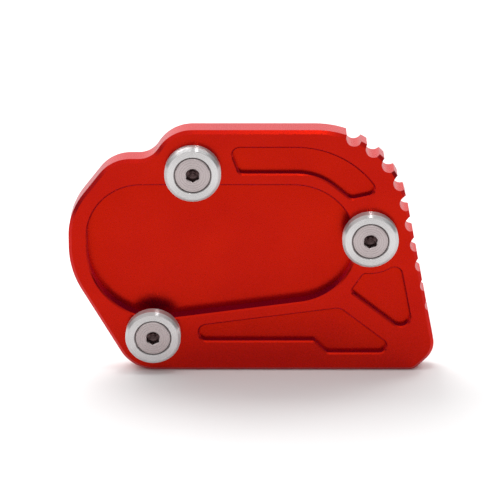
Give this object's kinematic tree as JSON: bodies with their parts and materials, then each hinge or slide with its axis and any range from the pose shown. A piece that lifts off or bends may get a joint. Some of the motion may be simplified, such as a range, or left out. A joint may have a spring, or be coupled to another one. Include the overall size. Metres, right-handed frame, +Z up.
{
  "type": "kickstand foot enlarger",
  "caption": "Milled plate that widens the foot of a motorbike side stand: the foot sits in a pocket and is held by turned clamp washers with countersunk screws.",
  "frame": {"origin": "centre of the bounding box on the ground, under the plate that stands on its long straight edge", "axes": "+X to the right along the straight edge as the pocketed face is seen, +Y out of the flat ground face, +Z up"},
  "size_m": [0.1, 0.0102, 0.07],
  "materials": {
    "anodised_plate": "red anodised, satin gloss",
    "turned_washer": "fine turned, clear anodised",
    "screw_steel": "plain stainless, satin"
  },
  "bodies": {
    "root": {"base_plate": "anodised_plate", "upper_washer": "turned_washer", "outer_washer": "turned_washer", "lower_washer": "turned_washer", "upper_screw": "screw_steel", "outer_screw": "screw_steel", "lower_screw": "screw_steel"}
  },
  "joints": []
}
